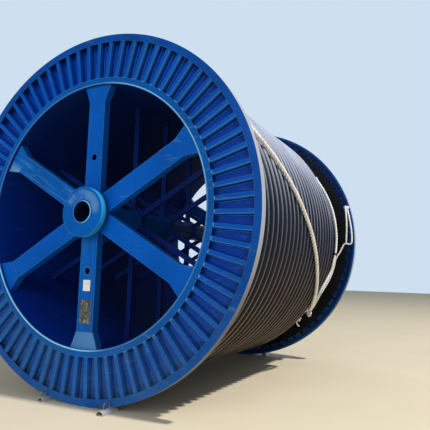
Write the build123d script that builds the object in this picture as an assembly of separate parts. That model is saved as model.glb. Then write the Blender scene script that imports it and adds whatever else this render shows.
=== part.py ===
from build123d import *

import os
from math import cos, hypot, pi, radians, sin, sqrt, tan

# Steel cable drum: two corrugated flanges on a hollow barrel, wound with black power cable.
# The drum's axis lies along Y. It stands on the rims of its flanges, with Z = 0 on the ground,
# the origin under the middle of the drum, and the front flange facing -Y. All sizes are in mm.

# Overall sizes
flange_diameter = 4500.0
inside_width = 4560.0          # between the backs of the two flanges
flange_depth = 100.0           # width of the tread that the drum rolls on
seat_gap = 0.3                 # between curved faces that rest on each other

# Rim: a rolled channel that opens towards the hub
rim_face_width = 86.0
rim_tread_thickness = 16.0
rim_plate_thickness = 12.0

# Corrugated web of the flange
rib_count = 75
rib_land_width = 48.0
rib_flank_run = 17.0
web_thickness = 6.0
web_rim_insert = 40.0          # how far the web runs into the rim's channel
web_ring_insert = 38.0         # and into the inner ring's channel

# Inner ring of the flange: a channel that opens outwards, on the barrel
ring_face_width = 67.0
ring_plate_thickness = 12.0
ring_collar_thickness = 10.0

# Barrel
barrel_outer_diameter = 3268.0
barrel_thickness = 16.0
barrel_lip = 8.0               # how far the barrel stands proud of each inner ring

# Lining sheet on the inside of each flange
lining_diameter = 4230.0
lining_thickness = 12.0

# Spokes: box beams with flared ends
spoke_count = 6
spoke_width = 240.0
spoke_depth = 100.0
spoke_setback = 38.0           # behind the face of the rim
flare_length = 205.0
flare_end_width = 404.0
drive_hole_diameter = 80.0
drive_hole_radius = 700.0      # from the drum's axis
drive_collar_diameter = 112.0
drive_collar_height = 8.0

# Hub and centre tube
hub_disc_diameter = 600.0
hub_disc_thickness = 75.0
hub_stand_off = 121.0          # disc's face in front of the rim's face
hub_boss_diameter = 412.0
tube_outer_diameter = 273.0
tube_wall = 9.5
tube_lip = 6.0                 # how far the tube stands proud of the hub disc

# Inner frames: spiders of square tube inside the barrel
frame_count = 5
frame_pitch = 735.0
strut_width = 60.0
frame_collar_thickness = 16.0

# Cable
cable_diameter = 160.0
turn_pitch = 162.0
layer_count = 3
top_layer_turns = 22           # the layers below it go on to the back lining
groove_depth = 36.0            # of the valley between two turns
crest_width = 70.0             # of the flat that stands for the round top of a turn

# Nameplate on the bottom spoke
nameplate_width = 158.0
nameplate_height = 276.0
nameplate_thickness = 3.0
nameplate_radius = 1181.0      # of its middle, from the drum's axis

# Chocks: half pipes with a bent-rod handle
chock_pipe_diameter = 101.6
chock_wall = 6.0
chock_length = 260.0
chock_right_overhang = 190.0   # in front of the rim's face
chock_left_overhang = 105.0
handle_rod = 12.0
handle_span = 105.0
handle_height = 62.0
handle_bend = 24.0
handle_setback = 14.0          # from the rim's face to the nearer leg

# Ropes
cream_rope_diameter = 55.0
white_rope_diameter = 45.0
lashing_diameter = 32.0
rope_clearance = 0.5           # between a rope and what it lies on

# Routes of ropes that lie on a layer of the cable: (angle above the horizontal, Y) of each point
cream_route = [(38.0, -2267.3), (38.0, -2228), (37.3, -2152), (35.4, -2020), (32.0, -1800),
               (27.2, -1480), (22.5, -1190), (17.0, -915), (11.2, -645), (5.2, -385), (-0.8, -95),
               (-6.8, 160), (-12.6, 410), (-18.5, 650), (-24.4, 900), (-28.6, 1065), (-31.9, 1170)]
white_route = [(38.0, 2267.3), (38.0, 2217), (37.4, 2165), (36.2, 2126), (34.6, 2106),
               (32.4, 2098), (29.4, 2096), (25.2, 2106), (20.0, 2122), (14.1, 2122), (7.8, 2103),
               (1.2, 2096), (-4.4, 2082), (-8.8, 2066), (-13.0, 2042), (-16.4, 2048),
               (-19.6, 2004), (-23.3, 1932), (-27.0, 1874), (-30.6, 1870), (-34.2, 1944),
               (-37.8, 2056), (-40.8, 2148), (-42.8, 2208)]
lashing_route = [(-9.9, 2186), (-13.8, 2193), (-17.8, 2188), (-21.6, 2158), (-25.0, 2112),
                 (-28.2, 2056), (-31.4, 2048), (-34.8, 2090), (-38.0, 2160), (-40.6, 2222)]
tail_route = [(-47.9, 1872), (-49.4, 1930), (-50.9, 2006)]
# Stretches in the air: (angle, radius from the drum's axis, Y)
cream_tuck = [(-34.2, 2101, 1236), (-36.0, 2094, 1304), (-37.7, 2052, 1342), (-39.6, 2002, 1362),
              (-41.8, 1973, 1368), (-44.4, 1963, 1362), (-47.0, 1961.5, 1350)]
lashing_start = [(14.8, 2204, 2279.6), (14.8, 2204, 2260), (14.52, 2204, 2242),
                 (13.9, 2204, 2231), (12.6, 2204, 2227), (10.2, 2205, 2228), (6.2, 2207, 2232),
                 (2.4, 2208, 2236), (-0.1, 2207, 2238), (-1.5, 2198, 2238), (-1.95, 2171, 2238),
                 (-1.75, 2132, 2237), (-1.55, 2103, 2236), (-1.76, 2076, 2235),
                 (-2.33, 2055, 2233), (-3.9, 2035, 2227), (-6.5, 2004, 2212)]
stay_route = [(17.0, 2186, 2279.6), (17.0, 2186, 2261), (16.73, 2185, 2243), (16.1, 2181, 2230),
              (14.8, 2173, 2220), (12.4, 2160, 2213), (9.2, 2145, 2209), (6.0, 2130, 2209),
              (3.0, 2116, 2213), (0.7, 2107, 2224), (-1.06, 2101, 2235)]
tail_end = [(-52.1, 1966, 2096), (-53.0, 1996, 2176), (-53.4, 2020, 2234), (-53.4, 2020, 2267.3)]

# Sizes that follow
axis_height = flange_diameter/2
rim_radius = flange_diameter/2
rim_inner_radius = rim_radius - rim_face_width
barrel_radius = barrel_outer_diameter/2
barrel_bore_radius = barrel_radius - barrel_thickness
ring_outer_radius = barrel_radius + ring_face_width
inside_face = inside_width/2                    # Y of a flange's back
outer_face = inside_face + flange_depth         # Y of a flange's face
web_outer_radius = rim_inner_radius + web_rim_insert
web_inner_radius = ring_outer_radius - web_ring_insert
web_depth = flange_depth - rim_plate_thickness - ring_plate_thickness
tube_radius = tube_outer_diameter/2
tube_bore_radius = tube_radius - tube_wall
hub_radius = hub_disc_diameter/2
hub_boss_radius = hub_boss_diameter/2
layer_rise = sqrt(cable_diameter**2 - (turn_pitch/2)**2)
first_layer_radius = barrel_radius + cable_diameter
top_layer_radius = first_layer_radius + (layer_count - 1)*layer_rise
second_layer_radius = top_layer_radius - layer_rise
winding_start = -inside_face + lining_thickness
winding_end = inside_face - lining_thickness
turns_across = int((winding_end - winding_start)/turn_pitch)

FRONT, BACK = -1, 1


def on_axis(shape):
    """Lift a shape that was made about the Y axis to the drum's axis."""
    return Pos(0, 0, axis_height)*shape


def turned(points):
    """Solid turned about the drum's axis from its (Y, radius) section."""
    section = Plane.YZ*make_face(Polyline(*points, close=True))
    return revolve(section, Axis.Y, 360)


def ring(y0, y1, inner, outer):
    """Turned ring with a plain rectangular section."""
    return turned([(y0, inner), (y1, inner), (y1, outer), (y0, outer)])


def flange_y(side, inward):
    """Y of a plane that lies this far behind a flange's face."""
    return side*(outer_face - inward)


def rim(side):
    """Channel of the rim: tread and two plates, open towards the hub."""
    face, back = flange_y(side, 0), flange_y(side, flange_depth)
    face_plate = flange_y(side, rim_plate_thickness)
    back_plate = flange_y(side, flange_depth - rim_plate_thickness)
    under_tread = rim_radius - rim_tread_thickness
    return turned([(face, rim_inner_radius), (face, rim_radius), (back, rim_radius),
                   (back, rim_inner_radius), (back_plate, rim_inner_radius),
                   (back_plate, under_tread), (face_plate, under_tread),
                   (face_plate, rim_inner_radius)])


def inner_ring(side):
    """Channel between the barrel and the web, open outwards."""
    face, back = flange_y(side, 0), flange_y(side, flange_depth)
    face_plate = flange_y(side, ring_plate_thickness)
    back_plate = flange_y(side, flange_depth - ring_plate_thickness)
    inner = barrel_radius + seat_gap
    collar = inner + ring_collar_thickness
    return turned([(face, inner), (face, ring_outer_radius), (face_plate, ring_outer_radius),
                   (face_plate, collar), (back_plate, collar), (back_plate, ring_outer_radius),
                   (back, ring_outer_radius), (back, inner)])


def hat(land, height, run, base):
    """Trapezoid across a rib: the land at -Y, the flanks spreading towards base on +Y."""
    half_land, half_base = land/2, land/2 + run
    return make_face(Polyline((-half_land, base - height), (half_land, base - height),
                              (half_base, base), (-half_base, base), close=True))


def corrugated_web(side):
    """One folded sheet: radial hat ribs with wedge-shaped valleys between them."""
    flank_shift = web_thickness*hypot(rib_flank_run, web_depth)/web_depth
    slope = rib_flank_run/web_depth
    channel_height = web_depth - web_thickness
    channel_land = rib_land_width - 2*flank_shift + 2*slope*web_thickness
    length = web_outer_radius - web_inner_radius + 2*web_rim_insert
    start = web_inner_radius - web_rim_insert
    rib = extrude(hat(rib_land_width, web_depth, rib_flank_run, 0), length)
    channel = extrude(hat(channel_land, channel_height, slope*channel_height, 0), length)
    plate = ring(-web_thickness, 0, start, start + length)
    turns = [Rot(0, 360*k/rib_count, 0)*Pos(0, 0, start) for k in range(rib_count)]
    sheet = plate + [turn*rib for turn in turns]
    sheet = sheet - [turn*channel for turn in turns]
    trim = ring(-web_depth, 0, web_inner_radius, web_outer_radius)
    sheet = sheet & trim
    placed = Pos(0, -inside_face - rim_plate_thickness, 0)*sheet
    return placed if side == FRONT else mirror(placed, Plane.XZ)


def lining(side):
    """Sheet on the inside of the flange that keeps the cable off the ribs."""
    y0 = side*inside_face
    return ring(y0, y0 - side*lining_thickness, barrel_radius + seat_gap, lining_diameter/2)


def hub(side):
    """Thick disc on a boss; the centre tube passes through both."""
    disc_face = side*(outer_face + hub_stand_off)
    disc_back = disc_face - side*hub_disc_thickness
    boss_end = flange_y(side, spoke_setback + spoke_depth)
    bore = tube_radius + seat_gap
    return turned([(disc_face, bore), (disc_face, hub_radius), (disc_back, hub_radius),
                   (disc_back, hub_boss_radius), (boss_end, hub_boss_radius), (boss_end, bore)])


def spoke(side, angle, drilled, collared):
    """Box beam from the hub's boss to the barrel, its end flared, its root mitred."""
    half, half_end = spoke_width/2, flare_end_width/2
    flare_start = barrel_bore_radius - flare_length
    end = barrel_bore_radius + barrel_thickness
    outline = make_face(Polyline((-half, 0), (-half, flare_start), (-half_end, barrel_bore_radius),
                                 (-half_end, end), (half_end, end), (half_end, barrel_bore_radius),
                                 (half, flare_start), (half, 0), close=True))
    sector = 180/spoke_count
    reach = end*tan(radians(sector))
    wedge = make_face(Polyline((0, 0), (-reach, end), (reach, end), close=True))
    face = flange_y(side, spoke_setback)
    depth = spoke_depth
    beam = extrude(Plane.XZ*(outline & wedge), depth)
    y0 = face + depth if side == FRONT else face
    beam = Pos(0, y0, 0)*beam
    shell = ring(y0 - depth, y0, hub_boss_radius + seat_gap, barrel_bore_radius - seat_gap)
    beam = beam & shell
    if collared:
        out = side*drive_collar_height
        collar = Pos(0, face + out/2, drive_hole_radius)*Rot(90, 0, 0)*Cylinder(
            drive_collar_diameter/2, drive_collar_height)
        beam = beam + collar
    if drilled:
        drill = Pos(0, y0 - depth/2, drive_hole_radius)*Rot(90, 0, 0)*Cylinder(
            drive_hole_diameter/2, 2*depth)
        beam = beam - drill
    return Rot(0, angle, 0)*beam


def inner_frame(y):
    """Spider of square struts round a collar on the centre tube."""
    collar_radius = tube_radius + frame_collar_thickness
    half = strut_width/2
    frame = ring(y - half, y + half, tube_radius + seat_gap, collar_radius)
    root = collar_radius - frame_collar_thickness/2
    length = barrel_bore_radius - root
    strut = Pos(0, y, root + length/2)*Box(strut_width, strut_width, length)
    struts = [Rot(0, 360*k/spoke_count, 0)*strut for k in range(spoke_count)]
    trim = ring(y - half, y + half, root, barrel_bore_radius - seat_gap)
    return frame + [piece & trim for piece in struts]


def turn_section(centre, radius):
    """Flat crest of one turn and the groove after it, as (Y, radius) points."""
    half_pitch, half_crest = turn_pitch/2, crest_width/2
    return [(centre - half_crest, radius), (centre + half_crest, radius),
            (centre + half_pitch, radius - groove_depth)]


def winding():
    """The cable's layers as one turned solid: each nests in the one below, and the top one ends first."""
    inner = barrel_radius + seat_gap
    points = [(winding_start, inner), (winding_start, top_layer_radius - groove_depth)]
    reached = winding_start
    for layer in reversed(range(layer_count)):
        on_top = layer == layer_count - 1
        radius = first_layer_radius + layer*layer_rise
        start = winding_start + (layer % 2)*turn_pitch/2
        turns = top_layer_turns if on_top else turns_across - layer
        if not on_top:
            points.append((reached, radius))
        for k in range(turns):
            points += [point for point in turn_section(start + (k + 0.5)*turn_pitch, radius)
                       if point[0] > reached]
        reached = start + turns*turn_pitch
    if reached < winding_end:
        points.append((winding_end, first_layer_radius - groove_depth))
    points.append((winding_end, inner))
    return turned(points)


def nameplate():
    """Bare metal plate on the face of the front flange's bottom spoke."""
    face = flange_y(FRONT, spoke_setback)
    plate = Box(nameplate_width, nameplate_thickness, nameplate_height)
    return Pos(0, face - nameplate_thickness/2, -nameplate_radius)*plate


def chock_offset():
    """X at which a half pipe on the ground touches the rim."""
    pipe = chock_pipe_diameter/2 + seat_gap
    return sqrt((rim_radius + pipe)**2 - rim_radius**2)


def chock(side, hand, overhang):
    """Half pipe lying beside the rim, along the drum's axis."""
    outer = chock_pipe_diameter/2
    end = side*(outer_face + overhang)
    centre = end - side*chock_length/2
    pipe = Rot(90, 0, 0)*(Cylinder(outer, chock_length) - Cylinder(outer - chock_wall, chock_length))
    upper = Pos(0, 0, outer/2)*Box(2*outer, chock_length, outer)
    return Pos(hand*chock_offset(), centre, 0)*(pipe & upper)


def chock_handle(side, hand, overhang):
    """Bent rod standing on a chock's crown, in front of the rim."""
    crown = chock_pipe_diameter/2 - chock_wall/2
    top = chock_pipe_diameter/2 + handle_height
    near = side*(outer_face + handle_setback + handle_rod/2)
    far = near + side*min(handle_span, overhang - handle_setback - 2*handle_rod)
    path = FilletPolyline((0, near, crown), (0, near, top), (0, far, top), (0, far, crown),
                          radius=handle_bend)
    section = Plane(origin=(0, near, crown), z_dir=(0, 0, 1))*Circle(handle_rod/2)
    rod = sweep(section, path)
    bore = Rot(90, 0, 0)*Cylinder(chock_pipe_diameter/2 + seat_gap, 4*chock_length)
    rod = rod - Pos(0, near, 0)*bore
    return Pos(hand*chock_offset(), 0, 0)*rod


def on_cable(route, rope_diameter, layer_radius):
    """Points of a rope that lies on the cable: its runs just clear the crests they cross."""
    lying = layer_radius + rope_diameter/2 + rope_clearance
    points = []
    for k, (angle, y) in enumerate(route):
        beside = [abs(route[j][0] - angle) for j in (k - 1, k + 1) if 0 <= j < len(route)]
        points.append((angle, lying/cos(radians(max(beside)/2)), y))
    return points


def placed(points):
    """Points given as angle, radius and Y, in the drum's own frame."""
    return [Vector(radius*cos(radians(angle)), y, radius*sin(radians(angle)))
            for angle, radius, y in points]


def rope(points, diameter):
    """Tube along straight runs joined by tangent arcs, as large as the runs allow."""
    corners = placed(points)
    radii = []
    for before, here, after in zip(corners, corners[1:], corners[2:]):
        turn = radians((here - before).get_angle(after - here))
        shorter = min((here - before).length, (after - here).length)
        radii.append(0.45*shorter/tan(turn/2))
    path = FilletPolyline(*corners, radius=radii)
    tube = sweep(Plane(origin=path @ 0, z_dir=path % 0)*Circle(diameter/2), path)
    expected = pi*(diameter/2)**2*path.length
    print("rope", round(path.length), "long, volume ratio", round(tube.volume/expected, 4),
          "radii", [round(radius) for radius in radii])
    return tube


def build():
    """Every node by name, in the drum's own frame."""
    nodes = {}
    for side, name in ((FRONT, "front"), (BACK, "back")):
        nodes[f"{name}_rim"] = on_axis(rim(side))
        nodes[f"{name}_corrugated_web"] = on_axis(corrugated_web(side))
        nodes[f"{name}_inner_ring"] = on_axis(inner_ring(side))
        nodes[f"{name}_lining"] = on_axis(lining(side))
        nodes[f"{name}_hub"] = on_axis(hub(side))
        for k in range(spoke_count):
            drilled = k % (spoke_count//2) == 0
            collared = k == spoke_count//2
            angle = 360*k/spoke_count
            nodes[f"{name}_spoke_{k + 1}"] = on_axis(spoke(side, angle, drilled, collared))
        for hand, hand_name, overhang in ((-1, "left", chock_left_overhang),
                                          (1, "right", chock_right_overhang)):
            nodes[f"{name}_{hand_name}_chock"] = chock(side, hand, overhang)
            nodes[f"{name}_{hand_name}_chock_handle"] = chock_handle(side, hand, overhang)
    barrel_end = outer_face + barrel_lip
    nodes["barrel"] = on_axis(ring(-barrel_end, barrel_end, barrel_bore_radius, barrel_radius))
    tube_end = outer_face + hub_stand_off + tube_lip
    nodes["centre_tube"] = on_axis(ring(-tube_end, tube_end, tube_bore_radius, tube_radius))
    for k in range(frame_count):
        y = (k - (frame_count - 1)/2)*frame_pitch
        nodes[f"inner_frame_{k + 1}"] = on_axis(inner_frame(y))
    nodes["cable_winding"] = on_axis(winding())
    nodes["nameplate"] = on_axis(nameplate())
    nodes["cream_rope"] = on_axis(rope(
        on_cable(cream_route, cream_rope_diameter, top_layer_radius) + cream_tuck,
        cream_rope_diameter))
    nodes["white_rope"] = on_axis(rope(
        on_cable(white_route, white_rope_diameter, second_layer_radius), white_rope_diameter))
    nodes["lashing_rope"] = on_axis(rope(
        lashing_start + on_cable(lashing_route, lashing_diameter, second_layer_radius),
        lashing_diameter))
    nodes["lashing_stay"] = on_axis(rope(stay_route, lashing_diameter))
    nodes["lashing_tail"] = on_axis(rope(
        on_cable(tail_route, lashing_diameter, second_layer_radius) + tail_end, lashing_diameter))
    return nodes


def main():
    """Write one STEP file for each node."""
    os.makedirs("parts", exist_ok=True)
    for name, shape in build().items():
        export_step(shape, f"parts/{name}.step")


main()
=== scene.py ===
from math import cos, pi, radians, sin, sqrt, tau

import bmesh
import bpy
from mathutils import Matrix, Vector


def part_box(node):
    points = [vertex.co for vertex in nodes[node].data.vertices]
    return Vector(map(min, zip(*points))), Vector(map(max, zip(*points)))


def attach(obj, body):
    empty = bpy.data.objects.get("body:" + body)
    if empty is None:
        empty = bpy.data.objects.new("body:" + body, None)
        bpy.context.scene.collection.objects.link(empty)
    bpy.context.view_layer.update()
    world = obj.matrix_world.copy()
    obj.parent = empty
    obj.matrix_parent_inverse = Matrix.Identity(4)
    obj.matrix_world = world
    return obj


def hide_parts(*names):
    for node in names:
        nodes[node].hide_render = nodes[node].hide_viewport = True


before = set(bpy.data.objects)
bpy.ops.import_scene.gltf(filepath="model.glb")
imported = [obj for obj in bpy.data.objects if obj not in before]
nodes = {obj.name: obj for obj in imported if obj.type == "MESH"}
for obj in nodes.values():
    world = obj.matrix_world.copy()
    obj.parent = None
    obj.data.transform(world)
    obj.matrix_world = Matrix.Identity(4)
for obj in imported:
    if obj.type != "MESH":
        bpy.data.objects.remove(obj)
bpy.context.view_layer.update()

# Looks of a steel cable drum: blue painted flanges, a black cable in layers, ropes, pipe chocks.
# Lengths are in metres, but in millimetres in names that end in _mm and in the ropes' places.
# The drum's axis lies along Y and the front flange faces -Y.

# Places read from the parts of model.glb
rim_low, rim_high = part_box("front_rim")
barrel_low, barrel_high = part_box("barrel")
winding_low, winding_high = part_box("cable_winding")
hub_low, hub_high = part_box("front_hub")
plate_low, plate_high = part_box("nameplate")
axis_height = (rim_low.z + rim_high.z)/2
rim_radius = (rim_high.z - rim_low.z)/2
hub_radius = (hub_high.z - hub_low.z)/2
barrel_radius = (barrel_high.z - barrel_low.z)/2
winding_radius = winding_high.z - axis_height
ring_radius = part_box("front_inner_ring")[1].z - axis_height
winding_start, winding_end = winding_low.y, winding_high.y
flange_reach = -rim_low.y               # of a flange's outer face from the drum's middle
web_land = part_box("back_corrugated_web")[1].y
barrel_end = barrel_high.y
tube_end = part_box("centre_tube")[1].y

# Flange details
rib_count = 75
spoke_count = 6
spoke_width = 0.240
spoke_reach = flange_reach - 0.038      # of the spokes' front from the drum's middle
flare_start = 1.413                     # distance of the flare's root from the axis
rim_face_width = 0.086
rim_back = flange_reach - 0.096         # the rim's face towards the cable
bore_radius = 0.127
drive_hole_reach = 0.700                # of the drive holes from the axis
drive_hole_radius = 0.040
bead_length, bead_height = 0.050, 0.012
bead_gap = 0.003                        # between a bead's middle and the edge that it joins
flare_bead_half_width, flare_bead_lift = 0.007, 0.005
label_width, label_height, label_thickness = 0.110, 0.132, 0.0015
label_drop = 0.872                      # below the axis
label_curl = 0.012
rivet_radius, rivet_inset = 0.005, 0.012

# Cable, as it was wound
cable_diameter = 0.160
turn_pitch = 0.162
layer_rise = sqrt(cable_diameter**2 - (turn_pitch/2)**2)
top_layer_turns = 22
lower_turns_in_sight = 7                # of the second layer, counted from the back lining
crossover_share = 0.13                  # of a turn in which the cable steps over by one pitch
crossover_end_angle = 205.0
steps_per_turn, cable_sides = 120, 14
core_sink = 0.8                         # of the core below a layer's middle, in cable radii
core_gap = 0.001                        # between the core and the barrel

# Ropes
cream_mm, white_mm, thin_mm = 55.0, 45.0, 32.0
rope_clearance_mm = 0.5
top_layer_mm = 2070.0
second_layer_mm = top_layer_mm - 1000*layer_rise
strand_count, strand_sides = 3, 8
strand_share, offset_share = 0.265, 0.235       # a strand's radius and offset, of the rope's diameter
lay_share = 3.6                                 # one twist, in rope diameters
points_per_lay = 14.0


def srgb(red, green, blue):
    """Linear colour from 8-bit display values."""
    def linear(value):
        """One channel."""
        share = value/255
        return share/12.92 if share <= 0.04045 else ((share + 0.055)/1.055)**2.4
    return (linear(red), linear(green), linear(blue), 1.0)


# Node helpers, for shader and geometry trees alike

def node(tree, kind, values=None, **settings):
    """New node; values maps its inputs, by name or number, to values or other nodes' outputs."""
    made = tree.nodes.new(kind)
    for name, value in settings.items():
        setattr(made, name, value)
    for key, value in (values or {}).items():
        if isinstance(value, bpy.types.NodeSocket):
            tree.links.new(value, made.inputs[key])
        else:
            made.inputs[key].default_value = value
    return made


def output(tree, kind, values=None, **settings):
    """First output of a new node."""
    return node(tree, kind, values, **settings).outputs[0]


def calc(tree, operation, *terms, clamp=False):
    """Output of a Math node."""
    return output(tree, "ShaderNodeMath", dict(enumerate(terms)), operation=operation, use_clamp=clamp)


def product(tree, first, *others):
    """All the terms multiplied."""
    for other in others:
        first = calc(tree, "MULTIPLY", first, other)
    return first


def total(tree, first, *others):
    """All the terms added."""
    for other in others:
        first = calc(tree, "ADD", first, other)
    return first


def distance(tree, across, up):
    """Root of the sum of two squares."""
    return calc(tree, "SQRT", total(tree, product(tree, across, across), product(tree, up, up)))


def between(tree, value, low, high, to_low=0.0, to_high=1.0):
    """Smooth step of a value from low to high."""
    return output(tree, "ShaderNodeMapRange", {0: value, 1: low, 2: high, 3: to_low, 4: to_high},
                  interpolation_type="SMOOTHSTEP")


def mixed(tree, amount, first, second, way="MIX"):
    """Colour between two colours."""
    made = node(tree, "ShaderNodeMix", {0: amount, 6: first, 7: second},
                data_type="RGBA", blend_type=way, clamp_factor=True)
    return made.outputs[2]


def covered(tree, base, colour, *amounts):
    """A base with a colour over it, as much as all the amounts multiplied."""
    return mixed(tree, product(tree, *amounts), base, colour)


def noise(tree, vector, scale, detail=4.0, roughness=0.55):
    """Value of a noise texture."""
    return output(tree, "ShaderNodeTexNoise",
                  {"Vector": vector, "Scale": scale, "Detail": detail, "Roughness": roughness})


def stretched(tree, vector, factors):
    """Coordinates scaled on each axis, for streaks and grain."""
    return output(tree, "ShaderNodeVectorMath", {0: vector, 1: factors}, operation="MULTIPLY")


def scaled(tree, vector, amount):
    """Vector times a value."""
    return output(tree, "ShaderNodeVectorMath", {0: vector, "Scale": amount}, operation="SCALE")


def object_place(tree):
    """Object coordinates of the point that is shaded."""
    return node(tree, "ShaderNodeTexCoord").outputs["Object"]


def parts_of(tree, vector):
    """X, Y and Z of a vector."""
    return node(tree, "ShaderNodeSeparateXYZ", {0: vector}).outputs


def group(name, inputs, outputs, kind="ShaderNodeTree"):
    """Empty node group with its input and output nodes. A socket is given as a number or its type."""
    tree = bpy.data.node_groups.new(name, kind)
    for way, sockets in (("INPUT", inputs), ("OUTPUT", outputs)):
        for socket, value in sockets.items():
            plain = not isinstance(value, str)
            made = tree.interface.new_socket(name=socket, in_out=way,
                                             socket_type="NodeSocketFloat" if plain else value)
            if plain:
                made.default_value = value
    return tree, tree.nodes.new("NodeGroupInput"), tree.nodes.new("NodeGroupOutput")


def put_out(tree, out, values):
    """Join values to the outputs of a group."""
    for name, value in values.items():
        tree.links.new(value, out.inputs[name])


def placed_group(tree, made_group, values=None):
    """Outputs of a shader group that is put in a material."""
    return node(tree, "ShaderNodeGroup", values, node_tree=made_group).outputs


# Shader groups: effects that several finishes share

def drum_place_group():
    """The shaded point's distance from the axis, and its place along, beside, over and across it."""
    names = ("Radius", "Along", "Beside", "Over Axis", "Across")
    tree, _, out = group("drum_place", {}, dict.fromkeys(names, 0.0))
    across, along, height = parts_of(tree, object_place(tree))
    over_axis = calc(tree, "SUBTRACT", height, axis_height)
    beside = calc(tree, "ABSOLUTE", along)
    radius = distance(tree, across, over_axis)
    put_out(tree, out, dict(zip(names, (radius, along, beside, over_axis, across))))
    return tree


def edge_wear_group():
    """Mask of rubbed outer edges, broken up by noise."""
    tree, given, out = group("edge_wear", {"Width": 0.006, "Breakup": 0.5}, {"Mask": 0.0})
    soft = output(tree, "ShaderNodeBevel", {"Radius": given.outputs["Width"]}, samples=4)
    sharp = node(tree, "ShaderNodeNewGeometry")
    same = node(tree, "ShaderNodeVectorMath", {0: soft, 1: sharp.outputs["Normal"]},
                operation="DOT_PRODUCT")
    edge = between(tree, calc(tree, "SUBTRACT", 1.0, same.outputs["Value"]), 0.02, 0.20)
    least = product(tree, given.outputs["Breakup"], 0.75)
    kept = between(tree, noise(tree, object_place(tree), 9.0, 5.0), least, total(tree, least, 0.15))
    put_out(tree, out, {"Mask": product(tree, edge, kept)})
    return tree


def dust_group():
    """Mask of dust that is thrown up from the ground and thins with height."""
    tree, given, out = group("ground_dust", {"Top": 1.6, "Amount": 0.5}, {"Mask": 0.0})
    place = object_place(tree)
    thin = between(tree, parts_of(tree, place)[2], 0.0, given.outputs["Top"], 1.0, 0.0)
    cloud = between(tree, noise(tree, place, 2.2, 6.0, 0.62), 0.32, 0.66)
    grain = between(tree, noise(tree, place, 38.0, 3.0), 0.30, 0.70, 0.55, 1.0)
    whole = product(tree, thin, grain, calc(tree, "MULTIPLY_ADD", cloud, 0.65, 0.35))
    put_out(tree, out, {"Mask": calc(tree, "MULTIPLY", whole, given.outputs["Amount"], clamp=True)})
    return tree


def streak_group():
    """Masks of stains that run down the face, and of pale scuffs across it."""
    tree, _, out = group("run_stains", {}, {"Stains": 0.0, "Scuffs": 0.0})
    place = object_place(tree)
    runs = noise(tree, stretched(tree, place, (9.0, 9.0, 0.8)), 1.0, 5.0, 0.6)
    marks = noise(tree, stretched(tree, place, (3.0, 3.0, 14.0)), 1.6, 7.0, 0.7)
    patches = noise(tree, place, 0.9, 2.0)
    put_out(tree, out, {
        "Stains": product(tree, between(tree, runs, 0.50, 0.72), between(tree, patches, 0.40, 0.62)),
        "Scuffs": product(tree, between(tree, marks, 0.57, 0.66), between(tree, patches, 0.45, 0.60))})
    return tree


def film_group():
    """Unevenness of a brushed or sprayed film: shade, roughness and height."""
    tree, given, out = group("paint_film", {"Roughness": 0.42},
                             {"Shade": 0.0, "Roughness": 0.0, "Height": 0.0})
    place = object_place(tree)
    waves = noise(tree, place, 6.0, 3.0)
    spread = calc(tree, "MULTIPLY_ADD", waves, 0.22, -0.11)
    put_out(tree, out, {
        "Shade": between(tree, noise(tree, place, 1.4, 3.0), 0.30, 0.70, 0.84, 1.10),
        "Roughness": calc(tree, "ADD", given.outputs["Roughness"], spread, clamp=True),
        "Height": calc(tree, "MULTIPLY_ADD", noise(tree, place, 160.0, 2.0), 0.25, waves)})
    return tree


drum_place = drum_place_group()
edge_wear = edge_wear_group()
ground_dust = dust_group()
run_stains = streak_group()
paint_film = film_group()


# Finishes

def new_material(name):
    """Material with its tree."""
    material = bpy.data.materials.new(name)
    material.use_nodes = True
    return material, material.node_tree


def finish(tree, colour, roughness, height=None, depth=0.001, strength=0.4, plain=None):
    """Join the colour, roughness and bump height to the shader, and set its plain values."""
    shader = tree.nodes["Principled BSDF"]
    tree.links.new(colour, shader.inputs["Base Color"])
    if isinstance(roughness, float):
        shader.inputs["Roughness"].default_value = roughness
    else:
        tree.links.new(roughness, shader.inputs["Roughness"])
    if height:
        bump = output(tree, "ShaderNodeBump", {"Height": height, "Distance": depth, "Strength": strength})
        tree.links.new(bump, shader.inputs["Normal"])
    for name, value in (plain or {}).items():
        shader.inputs[name].default_value = value


dust_colour = srgb(72, 116, 142)
rubbed_blue = srgb(104, 178, 226)
stain_blue = srgb(20, 42, 78)
scuff_blue = srgb(120, 168, 205)
dusty_roughness = (0.9, 0.9, 0.9, 1.0)
floor_glow_slant = 0.45                       # how far to the right of straight down face the sides that get a painted floor reflection and highlight


def paint(name, colour, dust=0.5, dust_top=1.6, edges=0.8, edge_width=0.006, stains=0.25,
          scuffs=0.2, roughness=0.40, specular=0.06, places=None):
    """Blue paint with rubbed edges, stains, scuffs and dust. places repaints some places before them."""
    material, tree = new_material(name)
    film = placed_group(tree, paint_film, {"Roughness": roughness})
    shade = output(tree, "ShaderNodeCombineColor", {k: film["Shade"] for k in range(3)})
    base = mixed(tree, 1.0, colour, shade, "MULTIPLY")
    if places:
        base = places(tree, placed_group(tree, drum_place), base)
    marks = placed_group(tree, run_stains)
    base = covered(tree, base, stain_blue, stains, marks["Stains"])
    base = covered(tree, base, scuff_blue, scuffs, marks["Scuffs"])
    wear = placed_group(tree, edge_wear, {"Width": edge_width, "Breakup": 0.35})
    base = covered(tree, base, rubbed_blue, edges, wear["Mask"])
    settled = placed_group(tree, ground_dust, {"Top": dust_top, "Amount": dust})["Mask"]
    base = mixed(tree, settled, base, dust_colour)
    rough = mixed(tree, settled, film["Roughness"], dusty_roughness)
    finish(tree, base, rough, film["Height"], 0.0012, 0.5, {"Specular IOR Level": specular})
    return material


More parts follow.
